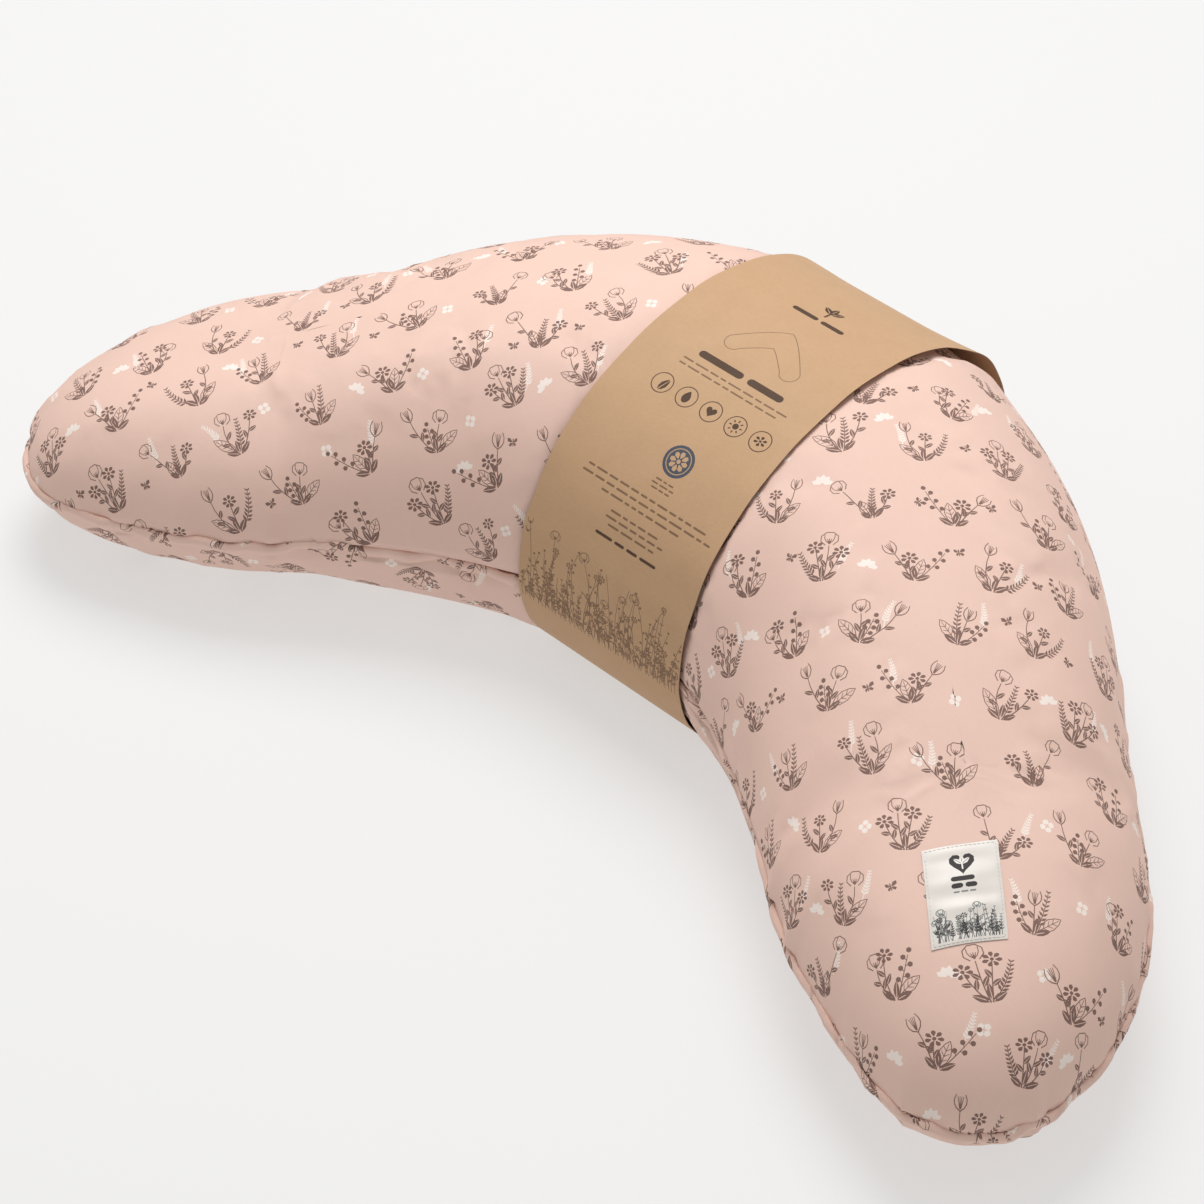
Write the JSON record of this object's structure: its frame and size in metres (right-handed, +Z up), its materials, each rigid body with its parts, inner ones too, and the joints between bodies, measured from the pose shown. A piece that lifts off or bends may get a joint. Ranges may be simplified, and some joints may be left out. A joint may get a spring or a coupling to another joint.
{
  "type": "nursing pillow",
  "caption": "Boomerang nursing cushion in a zipped printed cotton cover, with an inner cushion, a sewn satin label and a kraft paper band round the elbow.",
  "frame": {"origin": "middle of the footprint, on the floor the pillow lies on", "axes": "+Z up, +X along the pillow's width through the elbow's plane of symmetry, +Y out of the elbow; the arms open towards -Y"},
  "size_m": [0.8796, 0.4724, 0.2239],
  "materials": {
    "blush_cotton": "satin",
    "blush_thread": "matte",
    "inner_calico": "matte",
    "kapok": "matte",
    "zip_tape": "matte",
    "zip_nylon": "satin",
    "zip_metal": "satin",
    "label_satin": "satin",
    "kraft_paper": "matte",
    "glue": "matte"
  },
  "bodies": {
    "pillow": {"cover_top_panel": "blush_cotton", "cover_bottom_panel": "blush_cotton", "cover_seam_thread": "blush_thread", "inner_case_top": "inner_calico", "inner_case_bottom": "inner_calico", "inner_case_seam_thread": "inner_calico", "kapok_fill": "kapok", "zip_tape_upper": "zip_tape", "zip_tape_lower": "zip_tape", "zip_coil_upper": "zip_nylon", "zip_coil_lower": "zip_nylon", "zip_stitch_upper": "blush_thread", "zip_stitch_lower": "blush_thread", "zip_stop_open_end": "zip_metal", "zip_stop_shut_end": "zip_metal", "woven_label": "label_satin", "label_stitches": "label_satin", "care_label": "label_satin", "paper_sleeve": "kraft_paper", "sleeve_glue_strip": "glue"},
    "slider": {"zip_slider": "zip_metal"},
    "pull_tab": {"zip_pull_tab": "zip_metal"}
  },
  "joints": [
    {"name": "zip_travel", "type": "hinge", "parent": "pillow", "child": "slider", "pos_m": [0.0554, -0.1925, 0.078], "axis": [0, 0, -1], "range_deg": [0, 31.2]},
    {"name": "pull_tab_swing", "type": "hinge", "parent": "slider", "child": "pull_tab", "pos_m": [-0.29317, 0.07749, 0.078], "axis": [0, 0, -1], "range_deg": [0, 175]}
  ]
}
